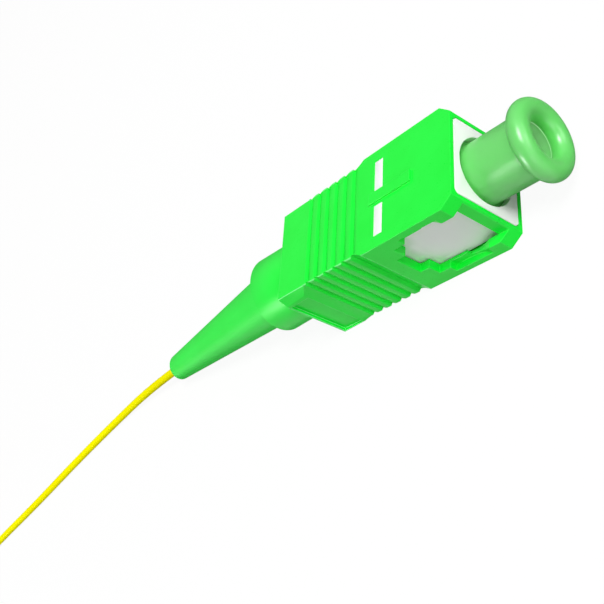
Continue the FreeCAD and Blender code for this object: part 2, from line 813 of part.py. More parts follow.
# ---------------------------------------------------------------- buffered fibre and its coil
def bend(before, corner, after, radius):
    """The arc that rounds one corner of a route: its first, middle and last points."""
    back, ahead = (before - corner).normalize(), (after - corner).normalize()
    half_turn = (math.pi - back.getAngle(ahead)) / 2
    reach = radius * math.tan(half_turn)
    inward = (back + ahead).normalize()
    middle = corner + inward * (radius / math.cos(half_turn) - radius)
    return corner + back * reach, middle, corner + ahead * reach


def largest_bend(before, corner, after):
    """The bend radius that takes up RUN_SHARE of the shorter run."""
    back, ahead = before - corner, after - corner
    half_turn = (math.pi - back.getAngle(ahead)) / 2
    return RUN_SHARE * min(back.Length, ahead.Length) / math.tan(half_turn)


def route_tube(name, points, bore, radius_at):
    """A round bar along straight runs joined by tangent arcs, checked by its volume."""
    edges, here = [], points[0]
    for before, corner, after in zip(points, points[1:], points[2:]):
        radius = radius_at(before, corner, after)
        print(name, "bend radius", round(radius, 1))
        start, middle, end = bend(before, corner, after, radius)
        edges.append(Part.LineSegment(here, start).toShape())
        edges.append(Part.Arc(start, middle, end).toShape())
        here = end
    edges.append(Part.LineSegment(here, points[-1]).toShape())
    path = Part.Wire(edges)
    ring = Part.Wire(Part.Circle(points[0], points[1] - points[0], bore).toShape())
    bar = path.makePipeShell([ring], True, False)
    expected = math.pi * bore**2 * path.Length
    print(name, "length", round(path.Length, 2), "volume share", round(bar.Volume / expected, 4))
    feature = doc.addObject("Part::Feature", name)
    feature.Shape = bar
    return feature


def build_buffered_fibre():
    """The fibre in its buffer inside the connector, from the flange's tail to the boot's mouth."""
    pivot = Vector(-dim("boot_pivot"), 0, 0)
    end = sagging(pivot - Vector(dim("boot_tail_long"), 0, 0))
    points = [Vector(-dim("buffer_start"), 0, 0), pivot, end]
    tube = route_tube("buffered_fibre", points, dim("buffer_radius"), lambda *run: dim("buffer_bend_radius"))
    keep(tube, "buffered_fibre")
    return end


def build_cable_lead(mouth):
    """The free fibre from the boot's mouth to the coil, lying on the table."""
    carried = Vector(dim("front_x"), 0, dim("housing_tall") / 2)
    heading = (mouth - Vector(-dim("boot_pivot"), 0, 0)).normalize()
    first = mouth + heading * dim("lead_first_run")
    points = [mouth, first] + [Vector(*point) - carried for point in LEAD_ROUTE]
    keep(route_tube("cable_lead", points, dim("buffer_radius"), largest_bend), "cable_lead")


def build_cable_coil():
    """The outer shape of the coiled spare fibre, flat on the table."""
    coil = body("cable_coil_body")
    low = "-dims.housing_tall / 2"
    section = sketch_on(coil, "coil_section", "XZ_Plane")
    rectangle(section, "dims.coil_radius - dims.coil_thick", "dims.coil_radius", low, f"{low} + dims.coil_tall")
    turned = coil.newObject("PartDesign::Revolution", "coil_turned")
    turned.Profile = section
    turned.ReferenceAxis = (section, ["V_Axis"])
    turned.Angle = 360.0
    doc.recompute()
    fillet(coil, "coil_rounded", turned, lambda middle, edge: edge.Closed, "dims.coil_round")
    keep(coil, "cable_coil")
    coil.setExpression("Placement.Base.x", "dims.coil_x")
    coil.setExpression("Placement.Base.y", "dims.coil_y")


# ---------------------------------------------------------------- dust cap
def build_dust_cap():
    """Soft cap: a sleeve that grips the ferrule, a blind pocket in its front and a round pull ring."""
    rear, ring_middle = "-dims.cap_rear", "dims.cap_ring_centre"
    sleeve = solid(
        "Part::Cylinder",
        "cap_sleeve",
        Radius="dims.cap_radius",
        Height=f"{ring_middle} + dims.cap_rear",
        along=rear,
    )
    grip = solid(
        "Part::Cylinder",
        "cap_grip_bore",
        Radius="dims.ferrule_radius + dims.cap_bore_gap",
        Height="dims.cap_bore_end + dims.cap_rear + 1",
        along=f"{rear} - 1",
    )
    hollow = solid(
        "Part::Cylinder",
        "cap_pocket",
        Radius="dims.cap_pocket_radius",
        Height=f"{ring_middle} - dims.cap_pocket_floor + 1",
        along="dims.cap_pocket_floor",
    )
    ring = solid(
        "Part::Torus",
        "cap_ring",
        Radius1="dims.cap_ring_radius",
        Radius2="dims.cap_ring_round",
        along=ring_middle,
    )
    tube = cut("cap_tube", sleeve, joined("cap_holes", [grip, hollow]))
    keep(joined("dust_cap", [tube, ring]), "dust_cap")


# ---------------------------------------------------------------- build and write
def check(document):
    """Stops at the first feature that failed or piece that is not a sound solid."""
    for item in document.Objects:
        if "Invalid" in item.State or "Error" in item.State:
            raise RuntimeError(f"{item.Label} failed: {item.State}")
    for piece in PIECES:
        if piece.Shape.isNull() or not piece.Shape.isValid() or not piece.Shape.Solids:
            raise RuntimeError(f"{piece.Label} has no valid solid")


def write(pieces):
    os.makedirs("parts", exist_ok=True)
    for piece in pieces:
        piece.Shape.exportStep(f"parts/{piece.Label}.step")
        print(piece.Label, len(piece.Shape.Solids), "solid", round(piece.Shape.Volume, 2), "mm3")


build_housing()
build_plug_frame()
build_ferrule()
build_glass_fibre()
build_flange()
build_spring()
build_stop_body()
build_guide_tube()
build_boot()
boot_mouth = build_buffered_fibre()
build_cable_lead(boot_mouth)
build_cable_coil()
build_dust_cap()
doc.recompute()
check(doc)
write(PIECES)
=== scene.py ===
# %% [markdown]
# # A fibre connector on a table
# The connector is a small square plug that clicks into an adapter. A white frame inside a green housing
# holds a ceramic ferrule, a soft boot guards the thin yellow fibre behind it, and a soft cap keeps dust off
# the ferrule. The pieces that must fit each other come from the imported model, and everything that is seen
# closely gets its surface here.

import math

import bmesh
import bpy
import numpy as np
from mathutils import Matrix, Vector


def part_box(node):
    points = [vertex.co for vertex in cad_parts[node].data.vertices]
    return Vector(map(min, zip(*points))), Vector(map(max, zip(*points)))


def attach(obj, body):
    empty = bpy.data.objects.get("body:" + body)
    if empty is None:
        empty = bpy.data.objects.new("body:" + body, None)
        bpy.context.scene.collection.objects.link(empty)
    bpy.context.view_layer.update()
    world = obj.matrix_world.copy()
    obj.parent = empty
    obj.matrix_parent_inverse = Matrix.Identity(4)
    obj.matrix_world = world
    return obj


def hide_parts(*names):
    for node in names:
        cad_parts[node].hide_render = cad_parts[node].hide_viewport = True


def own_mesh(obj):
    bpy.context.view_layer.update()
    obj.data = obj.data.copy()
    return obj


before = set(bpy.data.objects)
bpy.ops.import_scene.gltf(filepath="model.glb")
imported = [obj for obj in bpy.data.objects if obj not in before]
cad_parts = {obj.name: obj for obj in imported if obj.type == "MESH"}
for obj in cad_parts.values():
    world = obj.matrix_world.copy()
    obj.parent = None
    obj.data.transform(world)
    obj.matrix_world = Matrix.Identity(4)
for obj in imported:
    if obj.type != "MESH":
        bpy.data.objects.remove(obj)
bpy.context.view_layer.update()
print("nodes:", sorted(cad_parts))

# %% [markdown]
# Every length is in metres, and the connector is only as long as a finger, so lengths are written in
# millimetres and multiplied by `MM`. The connector's axis runs along X through the middle of the ferrule;
# its height and the housing's front face are read from the frame instead of being typed in.

# %% Landmarks of the connector
MM = 0.001
TURN = 2 * math.pi

front_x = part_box("outer_housing")[1].x
ferrule_low, ferrule_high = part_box("ferrule")
axis_z = (ferrule_low.z + ferrule_high.z) / 2
print("front face at", round(front_x / MM, 3), "mm, axis at height", round(axis_z / MM, 3), "mm")

# %% [markdown]
# The camera comes first, because what it sees decides how the free fibre may lie. It looks down at the
# connector from the ferrule's end, and it is rolled so that the connector points up and to the right. Three
# unit vectors say which way its picture's right, up and back point; together they are its turn.

# %% Camera
camera_right = Vector((0.61301, 0.05908, -0.78786))
camera_up = Vector((0.34339, 0.87816, 0.33304))
camera_back = Vector((0.71155, -0.47470, 0.51804))
camera_target = Vector((-1.376 * MM, -2.300 * MM, axis_z))
camera_distance = 81.47 * MM

camera_data = bpy.data.cameras.new("camera")
camera_data.lens = 55.42
camera_data.sensor_width = 36.0
camera_data.clip_start = 1 * MM
camera = bpy.data.objects.new("camera", camera_data)
turn = Matrix((camera_right, camera_up, camera_back)).transposed().to_4x4()
camera.matrix_world = Matrix.Translation(camera_target + camera_back * camera_distance) @ turn
bpy.context.scene.collection.objects.link(camera)
bpy.context.scene.camera = camera
bpy.context.scene.view_settings.view_transform = "Standard"
print("camera at", [round(c / MM, 1) for c in camera.location])

# %% [markdown]
# ## The free fibre
# A pigtail's fibre is a glass thread in a yellow plastic buffer 0.9 mm thick. It leaves the boot along the
# boot's own line, sinks to the table and drifts to one side. What is spare is wound into a small round coil.
# One smooth spline carries all of it: a few listed control points for the free part, and 24 points for every
# turn of the coil, worked out as arrays.

# %% Route of the free fibre
BUFFER_RADIUS = 0.45 * MM
FIBRE_LENGTH = 1.0
mouth = np.array([-26.053, 0.0, 1.639]) * MM
free_route = np.array([
    [-33.420, 0.0, 0.943],
    [-42.0, -1.5, 0.47],
    [-52.0, -4.3, 0.47],
    [-63.0, -7.8, 0.47],
    [-74.2, -10.9, 0.47],
    [-81.6, -13.5, 0.47],
]) * MM
print("control points of the free part:", len(free_route))

# %% [markdown]
# The turns fill the coil in layers, like thread on a bobbin: first inwards, then outwards on top, and so on.
# Each turn keeps its radius for most of the way round and then slides over to the next slot. How many turns
# there are follows from the length that is left once the free part is laid.

# %% Turns of the coil
COIL_CENTRE = np.array([-92.0, -6.0]) * MM
COIL_OUTER = 10.28 * MM
COIL_STEP = 0.93 * MM
LAYER_STEP = 0.80 * MM
COIL_CLEAR = 0.17 * MM
COIL_LAYERS, TURNS_ACROSS = 4, 6
SLIDE_SHARE = 0.28
ENTRY_TURN = -73.0 / 360.0
ENTRY_LENGTH = 9.5 * MM
POINTS_PER_TURN = 24


def s_step(share):
    """0 up to share 0, 1 from share 1, and between them three squares of the share less two cubes."""
    share = np.clip(share, 0, 1)
    return share * share * (3 - 2 * share)


def coil_slots():
    """Radius and layer of each turn: full layers inwards, nested ones outwards, one wire's width apart."""
    inwards = COIL_OUTER - COIL_STEP * np.arange(TURNS_ACROSS)
    outwards = (inwards[:-1] - COIL_STEP / 2)[::-1]
    layers = [inwards if layer % 2 == 0 else outwards for layer in range(COIL_LAYERS)]
    return np.concatenate(layers), np.repeat(np.arange(COIL_LAYERS), [len(layer) for layer in layers])


def coil_points(turns):
    """Points of the winding: the angle falls steadily, and radius and height stay for most of a turn, then
    slide to the next slot over its last share, along an S-shaped step."""
    radii, layers = coil_slots()
    count = int(round(turns * POINTS_PER_TURN)) + 1
    wound = np.arange(count) / POINTS_PER_TURN
    turn_index = np.minimum(wound.astype(int), len(radii) - 2)
    slide = s_step((wound - turn_index - (1 - SLIDE_SHARE)) / SLIDE_SHARE)
    radius = radii[turn_index] * (1 - slide) + radii[turn_index + 1] * slide
    layer = layers[turn_index] * (1 - slide) + layers[turn_index + 1] * slide
    angle = (ENTRY_TURN - wound) * TURN
    height = BUFFER_RADIUS + COIL_CLEAR + layer * LAYER_STEP
    return np.column_stack([
        COIL_CENTRE[0] + radius * np.cos(angle),
        COIL_CENTRE[1] + radius * np.sin(angle),
        height,
    ])


def run_length(points):
    """Sum of the straight distances between neighbouring points."""
    return float(np.linalg.norm(np.diff(points, axis=0), axis=1).sum())


free_part = np.vstack([mouth[None], free_route])
spare = FIBRE_LENGTH - run_length(free_part) - ENTRY_LENGTH
most_turns = len(coil_slots()[0]) - 1
steps_wound = np.arange(POINTS_PER_TURN, POINTS_PER_TURN * most_turns)
wound_lengths = np.array([run_length(coil_points(steps / POINTS_PER_TURN)) for steps in steps_wound])
coil_turns = int(steps_wound[np.searchsorted(wound_lengths, spare)]) / POINTS_PER_TURN
fibre_route = np.vstack([free_part, coil_points(coil_turns)])
print("coil turns:", round(coil_turns, 2), "points:", len(fibre_route))

# %% [markdown]
# ## Surfaces from arrays
# A surface is a grid of points: rows along its profile and columns round it. A table of corner numbers
# joins neighbours into four-sided faces. Where a whole row falls on one place, its points are merged into
# one pole, and lids close a shape whose first and last rows are outlines. A closed shape whose volume comes
# out negative is inside out, so its faces are turned round.

# %% Grid surfaces
POLE_MERGE = 1e-5 * MM
SMOOTH_LIMIT = math.radians(40)


def grid_faces(rows, columns, close_rows):
    """Corner numbers of the quads of a grid whose columns always close and whose rows may."""
    row = np.arange(rows if close_rows else rows - 1)[:, None]
    column = np.arange(columns)[None, :]
    below, beside = (row + 1) % rows, (column + 1) % columns
    corners = [
        row * columns + column,
        row * columns + beside,
        below * columns + beside,
        below * columns + column,
    ]
    return np.stack(corners, axis=-1).reshape(-1, 4)


def grid_piece(name, points, material, body, close_rows=True, lids=False):
    """A piece from a grid of points, smooth except across its sharp edges."""
    rows, columns, _ = points.shape
    faces = grid_faces(rows, columns, close_rows).tolist()
    if lids:
        faces += [list(range(columns))[::-1], list(range((rows - 1) * columns, rows * columns))]
    mesh = bpy.data.meshes.new(name)
    mesh.from_pydata(points.reshape(-1, 3).tolist(), [], faces)
    work = bmesh.new()
    work.from_mesh(mesh)
    bmesh.ops.remove_doubles(work, verts=work.verts, dist=POLE_MERGE)
    loose = [edge for edge in work.edges if not edge.link_faces]
    bmesh.ops.delete(work, geom=loose, context="EDGES")
    if work.calc_volume(signed=True) < 0:
        bmesh.ops.reverse_faces(work, faces=work.faces)
    open_edges = sum(not edge.is_manifold for edge in work.edges)
    volume = work.calc_volume(signed=True)
    work.to_mesh(mesh)
    work.free()
    mesh.shade_smooth()
    mesh.set_sharp_from_angle(angle=SMOOTH_LIMIT)
    if material:
        mesh.materials.append(material)
    piece = bpy.data.objects.new(name, mesh)
    bpy.context.scene.collection.objects.link(piece)
    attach(piece, body)
    print(name, "faces:", len(mesh.polygons), "open edges:", open_edges, "mm3:", round(volume / MM ** 3, 2))
    return piece


# %% [markdown]
# ## The tie of the coil
# A spare coil springs open unless something holds it. A narrow strip of tape goes once round the bundle of
# turns, where the turns lie side by side: its path is a rounded rectangle that stands across the bundle, and
# its own thin section is carried along that path.

# %% Coil tie
TIE_TURN = 0.375
TIE_WIDTH, TIE_THICK, TIE_CORNER = 3.0 * MM, 0.12 * MM, 0.35 * MM
TIE_LIFT, TIE_GAP_INSIDE, TIE_GAP_OUTSIDE = 0.02 * MM, 0.06 * MM, 0.05 * MM


def rounded_rectangle(low, high, radius, count=6):
    """Points anticlockwise round a rectangle: each corner is a quarter circle of the given count of points,
    whose middle lies one radius inside both sides."""
    turns = (np.arange(4)[:, None] / 4 + np.linspace(0, 0.25, count)[None, :]) * TURN
    low, high = np.asarray(low), np.asarray(high)
    signs = np.array([[1, 1], [-1, 1], [-1, -1], [1, -1]])[:, None, :]
    outwards = np.stack([np.cos(turns), np.sin(turns)], axis=-1)
    return ((low + high) / 2 + signs * ((high - low) / 2 - radius) + outwards * radius).reshape(-1, 2)


def tie_points():
    """Grid of the tape: rows go round its thin section, columns round the bundle. Radius and height become
    x, y and z at the tie's place on the coil, and the width lies along the turns."""
    innermost = COIL_OUTER - (TURNS_ACROSS - 1) * COIL_STEP - BUFFER_RADIUS
    topmost = COIL_CLEAR + 2 * BUFFER_RADIUS + (COIL_LAYERS - 1) * LAYER_STEP
    low = np.array([innermost - TIE_GAP_INSIDE, TIE_LIFT + TIE_THICK])
    high = np.array([COIL_OUTER + BUFFER_RADIUS, topmost]) + TIE_GAP_OUTSIDE
    inside = rounded_rectangle(low, high, TIE_CORNER)
    outside = rounded_rectangle(low - TIE_THICK, high + TIE_THICK, TIE_CORNER + TIE_THICK)
    section = [(inside, -0.5), (outside, -0.5), (outside, 0.5), (inside, 0.5)]
    angle = TIE_TURN * TURN
    along = np.array([-math.sin(angle), math.cos(angle), 0.0])
    away = np.array([math.cos(angle), math.sin(angle), 0.0])
    middle = np.array([*COIL_CENTRE, 0.0])
    rows = [
        middle + path[:, :1] * away + path[:, 1:] * np.array([0, 0, 1.0]) + side * TIE_WIDTH * along
        for path, side in section
    ]
    return np.stack(rows)


coil_tie = grid_piece("coil_tie", tie_points(), None, "core")

# %% [markdown]
# The fibre is one spline with a round section of its own, so it stays a smooth tube however tightly it winds.

# %% The fibre as one spline
fibre_curve = bpy.data.curves.new("free_fibre", "CURVE")
fibre_curve.dimensions = "3D"
fibre_curve.bevel_depth = 1.0
fibre_curve.bevel_resolution = 6
fibre_curve.resolution_u = 6
fibre_curve.use_fill_caps = True
fibre_spline = fibre_curve.splines.new("NURBS")
fibre_spline.points.add(len(fibre_route) - 1)
fibre_spline.points.foreach_set("co", np.column_stack([fibre_route, np.ones(len(fibre_route))]).ravel())
fibre_spline.points.foreach_set("radius", np.full(len(fibre_route), BUFFER_RADIUS))
fibre_spline.order_u = 3
fibre_spline.use_endpoint_u = True
free_fibre = bpy.data.objects.new("free_fibre", fibre_curve)
bpy.context.scene.collection.objects.link(free_fibre)
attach(free_fibre, "core")
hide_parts("cable_lead", "cable_coil")
print("points on the fibre's spline:", len(fibre_spline.points))

# %% [markdown]
# ## Writing materials as sums
# A material is a small calculation for every point of a surface. The class below wraps a node's output, so
# that `grain * 0.1 + 0.4` adds the Math nodes by itself. One method, `node`, makes every other kind of node.

# %% Shader arithmetic


class Wire:
    """An output in a material's node tree. Arithmetic on it adds Math nodes to the same tree."""

    def __init__(self, tree, socket=None):
        self.tree = tree
        self.socket = socket

    def node(self, kind, inputs=None, output=0, **settings):
        """Any node: its settings first, then values or wires for its sockets."""
        made = self.tree.nodes.new(kind)
        for name, choice in settings.items():
            setattr(made, name, choice)
        for name, given in (inputs or {}).items():
            if isinstance(given, Wire):
                self.tree.links.new(given.socket, made.inputs[name])
            else:
                made.inputs[name].default_value = given
        return Wire(self.tree, made.outputs[output]) if len(made.outputs) else None

    def math(self, operation, *others):
        """A Math node on this value and, where the operation takes one, another."""
        return self.node("ShaderNodeMath", dict(enumerate((self, *others))), operation=operation)

    def __add__(self, other):
        return self.math("ADD", other)

    def __sub__(self, other):
        return self.math("SUBTRACT", other)

    def __mul__(self, other):
        return self.math("MULTIPLY", other)

    def __radd__(self, other):
        return self + other

    def __rmul__(self, other):
        return self * other

    def __rsub__(self, other):
        return (self * -1.0) + other

    def __abs__(self):
        return self.math("ABSOLUTE")

    def smooth(self, low, high):
        """0 below low, 1 above high, and an S-shaped rise between."""
        ends = {"Value": self, "From Min": low, "From Max": high}
        return self.node("ShaderNodeMapRange", ends, interpolation_type="SMOOTHSTEP")

    def between(self, rise, fall):
        """1 between a rise and a fall and 0 outside them: the product of two S-shaped steps."""
        return self.smooth(*rise) * (1.0 - self.smooth(*fall))

    def mix(self, colour_low, colour_high):
        """A colour that goes from one to the other as this value goes from 0 to 1."""
        ends = {"Factor": self, "A": colour_low, "B": colour_high}
        return self.node("ShaderNodeMix", ends, output=2, data_type="RGBA")


# %% Starting and closing a finish


def start_finish(name):
    """An empty material, and a wire that its nodes hang from."""
    material = bpy.data.materials.new(name)
    material.use_nodes = True
    material.node_tree.nodes.clear()
    return material, Wire(material.node_tree)


def close_finish(start, sockets):
    """Ends a material in one principled shader, with wires linked and plain numbers set on its sockets."""
    shader = start.node("ShaderNodeBsdfPrincipled", sockets)
    start.node("ShaderNodeOutputMaterial", {"Surface": shader})


def noise(place, scale, detail=2.0, roughness=0.5):
    """Smooth random values round 0.5; scale counts patches per metre."""
    inputs = {"Vector": place, "Scale": scale, "Detail": detail, "Roughness": roughness}
    return place.node("ShaderNodeTexNoise", inputs)


def bump(height, distance):
    """Turns a height between 0 and 1 into small slopes; distance is the height of 1 in metres."""
    return height.node("ShaderNodeBump", {"Height": height, "Distance": distance, "Strength": 1.0})


def object_place(start):
    """Where a point is on its piece, in metres."""
    return start.node("ShaderNodeTexCoord", output=3)


def separate(place):
    """The three coordinates of a place as three wires."""
    return [place.node("ShaderNodeSeparateXYZ", {"Vector": place}, output=axis) for axis in range(3)]


def linear(red, green, blue):
    """A screen colour of 0 to 255 a channel as the light it stands for."""
    share = np.array([red, green, blue]) / 255
    light = np.where(share <= 0.04045, share / 12.92, ((share + 0.055) / 1.055) ** 2.4)
    return (*light.tolist(), 1.0)


# %% [markdown]
# ## Moulded plastics
# Every plastic here comes out of a polished mould, so its surface is nearly smooth: the eye sees flat
# colour, a soft gloss, a slow drift of shade where the melt filled the mould, and a fine satin grain. One
# function writes that finish, and each piece gives it two close colours, a gloss and a grain of its own.

# %% Moulded finish
DRIFT_SCALE, DRIFT_RANGE = 260.0, (0.3, 0.7)
STREAK_SCALES, STREAK_RANGE = (60.0, 900.0, 900.0), (0.55, 0.75)
GRAIN_GLOSS, STREAK_GLOSS = 0.10, 0.05


def moulded_finish(
    name, colour_low, colour_high, gloss, grain_height, grain_scale, sockets=None, highlight_paint=None, glow=None
):
    """Moulded plastic: slow drift between two close colours, satin grain in the bump, and grain and long
    streaks in the gloss. The painted highlight takes a place and gives how much of a paler highlight colour is
    painted there, and that colour. Glow takes a place and gives the colour of a painted glow, light that seems
    to come from behind it."""
    material, start = start_finish(name)
    place = object_place(start)
    drift = noise(place, DRIFT_SCALE, detail=3.0).smooth(*DRIFT_RANGE)
    grain = noise(place, grain_scale, detail=3.0, roughness=0.6)
    stretching = {"Vector": place, "Scale": STREAK_SCALES}
    stretched = place.node("ShaderNodeMapping", stretching, vector_type="POINT")
    streaks = noise(stretched, 1.0, detail=4.0).smooth(*STREAK_RANGE)
    colour = drift.mix(colour_low, colour_high)
    # The painted highlight is mixed into the colour here.
    if highlight_paint:
        amount, highlight_colour = highlight_paint(place)
        colour = amount.mix(colour, highlight_colour)
    values = {
        "Base Color": colour,
        "Roughness": grain * GRAIN_GLOSS + streaks * STREAK_GLOSS + (gloss - GRAIN_GLOSS / 2),
        "Normal": bump(grain, grain_height),
    }
    if glow:
        values.update({"Emission Color": glow(place), "Emission Strength": 1.0})
    values.update(sockets or {})
    close_finish(start, values)
    return material


# %% [markdown]
# The thin rails above and below the ribs get a painted highlight, a paler green for the light that their edges
# catch, and the lip where the nose ends carries a thin painted highlight line. Both are worked out from where
# a point lies. Each pair of numbers is where an S-shaped step starts and where it ends.

# %% Painted highlights on the rails of the grip
RAIL_OUT, RAIL_LEVEL = np.array([[4.05, 4.13], [3.60, 3.66]]) * MM
RAIL_REAR, RAIL_FRONT = np.array([[17.2, 16.4], [10.4, 9.8]]) * MM
LIP_REAR, LIP_FRONT, LIP_OUT = np.array([[9.44, 9.40], [9.34, 9.30], [4.3, 4.4]]) * MM
RAIL_SHARE, LIP_SHARE = 0.8, 0.3
# Painted highlight: this pale green stands for the light that the rails and the lip catch.
HIGHLIGHT_GREEN = linear(125, 255, 145)


def rail_highlights(place):
    """Painted highlight on the thin rails at the edges of the grip: far out along Y, near the top or the base,
    and between the nose and the rear block. A weaker painted highlight on the narrow lip where the nose ends."""
    x, y, z = separate(place)
    corner = abs(y).smooth(*RAIL_OUT) * abs(z - axis_z).smooth(*RAIL_LEVEL)
    rail = corner * x.between(front_x - RAIL_REAR, front_x - RAIL_FRONT)
    lip = x.between(front_x - LIP_REAR, front_x - LIP_FRONT) * abs(y).smooth(*LIP_OUT)
    return rail * RAIL_SHARE + lip * LIP_SHARE, HIGHLIGHT_GREEN


# %% Green and white plastics
housing_green = moulded_finish(
    "housing_green",
    linear(10, 240, 54),
    linear(18, 245, 60),
    gloss=0.29,
    grain_height=0.001 * MM,
    grain_scale=9000.0,
    sockets={"Specular IOR Level": 0.24},
    highlight_paint=rail_highlights,
)
boot_green = moulded_finish(
    "boot_green",
    linear(20, 244, 60),
    linear(28, 248, 66),
    gloss=0.37,
    grain_height=0.0015 * MM,
    grain_scale=5200.0,
    sockets={"Specular IOR Level": 0.36},
)
frame_white = moulded_finish(
    "frame_white",
    linear(249, 249, 249),
    linear(252, 252, 252),
    gloss=0.30,
    grain_height=0.001 * MM,
    grain_scale=8000.0,
    sockets={"Specular IOR Level": 0.5},
)
mark_white = moulded_finish(
    "mark_white",
    linear(250, 251, 251),
    linear(253, 254, 254),
    gloss=0.5,
    grain_height=0.002 * MM,
    grain_scale=14000.0,
    sockets={"Specular IOR Level": 0.3},
)
print("plastics:", [finish.name for finish in (housing_green, boot_green, frame_white, mark_white)])

# %% [markdown]
# The cap is soft and lets light through. Light enters it and comes out a little further on, which a solid
# coloured surface can't show, so its finish lets light spread inside. Some light also comes through the thin
# wall into the pocket within the ring. The spreading shows too little of that, so a quiet painted glow is
# added there, with a painted highlight in the thin line where the ring meets the pocket.

# %% Glow in the cap's pocket
GLOW_AWAY, GLOW_START, GLOW_END = np.array([[1.74, 2.1], [2.3, 2.5], [4.1, 4.7]]) * MM
LINE_START, LINE_END = np.array([[4.41, 4.44], [4.47, 4.50]]) * MM
# Colours of the painted glow in the pocket, and of its painted highlight line.
NO_GLOW, PALE_GLOW, LINE_GLOW = linear(0, 0, 0), linear(84, 88, 82), linear(160, 172, 156)


def pocket_glow(place):
    """Painted glow for light that comes through the thin wall into the cap's pocket: inside the pocket's
    radius, in front of its floor and fading towards the ring, and a painted highlight in the thin line where
    the ring meets the pocket."""
    x, y, z = separate(place)
    height = z - axis_z
    away = (y * y + height * height).math("SQRT")
    depth = x - front_x
    line = depth.between(LINE_START, LINE_END)
    inside = (1.0 - away.smooth(*GLOW_AWAY)) * depth.smooth(*GLOW_START)
    lit = (1.0 - depth.smooth(*GLOW_END) + line).math("MINIMUM", 1.0)
    return (inside * lit).mix(NO_GLOW, line.mix(PALE_GLOW, LINE_GLOW))


# %% [markdown]
# The fibre's yellow buffer gets hardly any gloss, because a bright line along such a thin round thread would
# hide its colour. The cap's light spreads by about a millimetre and a half.

# %% Cap and fibre
cap_green = moulded_finish(
    "cap_green",
    linear(100, 207, 100),
    linear(107, 213, 106),
    gloss=0.33,
    grain_height=0.0004 * MM,
    grain_scale=3000.0,
    sockets={
        "Specular IOR Level": 0.9,
        "Subsurface Weight": 0.8,
        "Subsurface Radius": (0.8, 1.0, 0.8),
        "Subsurface Scale": 1.6 * MM,
    },
    glow=pocket_glow,
)
buffer_yellow = moulded_finish(
    "buffer_yellow",
    linear(252, 244, 0),
    linear(255, 250, 2),
    gloss=0.34,
    grain_height=0.00005 * MM,
    grain_scale=2000.0,
    sockets={"Specular IOR Level": 0.06, "IOR": 1.15},
)
free_fibre.data.materials.append(buffer_yellow)
coil_tie.data.materials.append(mark_white)
print("soft plastics:", [finish.name for finish in (cap_green, buffer_yellow)])

# %% [markdown]
# ## Painted edge highlights
# The rounded edges of the grip and the rear block get a painted highlight: they are painted paler than the
# plastic between them, while the smooth nose keeps its colour. The finish of the edges reads how far back a
# point lies, and lets noise break the pale line up a little.

# %% Finish of the painted edge highlights
HIGHLIGHT_START, HIGHLIGHT_FULL = 8.0 * MM, 9.6 * MM
MOTTLE_SCALE, LEAST_HIGHLIGHT = 1400.0, 0.6
EDGE_GLOSS, MOTTLE_GLOSS = 0.24, 0.1


def edge_highlight_finish(name, plain_edge, highlighted, highlight_starts, highlight_full):
    """Edge finish with a painted highlight: the plain edge colour ahead of one place along X, and behind the
    other as much of the pale highlight colour as noise between the least share and 1 lets through."""
    material, start = start_finish(name)
    place = object_place(start)
    behind = 1.0 - separate(place)[0].smooth(highlight_full, highlight_starts)
    mottle = noise(place, MOTTLE_SCALE, detail=3.0).smooth(0.25, 0.55)
    close_finish(start, {
        "Base Color": (behind * (mottle * (1 - LEAST_HIGHLIGHT) + LEAST_HIGHLIGHT)).mix(plain_edge, highlighted),
        "Roughness": mottle * MOTTLE_GLOSS + EDGE_GLOSS,
        "Specular IOR Level": 0.4,
    })
    return material


# The paler green on the housing's bevels behind the nose is a painted highlight.
edge_highlight_green = edge_highlight_finish(
    "housing_edge_green",
    plain_edge=linear(20, 240, 60),
    highlighted=linear(105, 252, 130),
    highlight_starts=front_x - HIGHLIGHT_START,
    highlight_full=front_x - HIGHLIGHT_FULL,
)
print("edges rubbed behind x =", round((front_x - HIGHLIGHT_START) / MM, 2), "mm")

# %% [markdown]
# ## Rounding the hard pieces
# A imported piece has knife-sharp edges, and no moulding has those. A copy of its mesh has its doubled corners
# merged and its flat triangles joined, and a narrow bevel then rounds every edge so that it catches light.
# The housing's bevels take a paler and glossier finish, a painted highlight on its edges.

# %% Rounded copies
COPY_MERGE = 0.0005 * MM
FLAT_LIMIT = math.radians(0.6)
SHARP_LIMIT = math.radians(28)


def weigh_edges(work, left_sharp):
    """Gives the edges that bend sharply to the bevel, except those whose middle is to be left sharp."""
    weight = work.edges.layers.float.new("bevel_weight_edge")
    for edge in work.edges:
        middle = (edge.verts[0].co + edge.verts[1].co) / 2
        bends = len(edge.link_faces) == 2 and edge.calc_face_angle() > SHARP_LIMIT
        edge[weight] = 1.0 if bends and not left_sharp(middle) else 0.0


def nowhere(place):
    """False for every place: no edge is left sharp."""
    return False


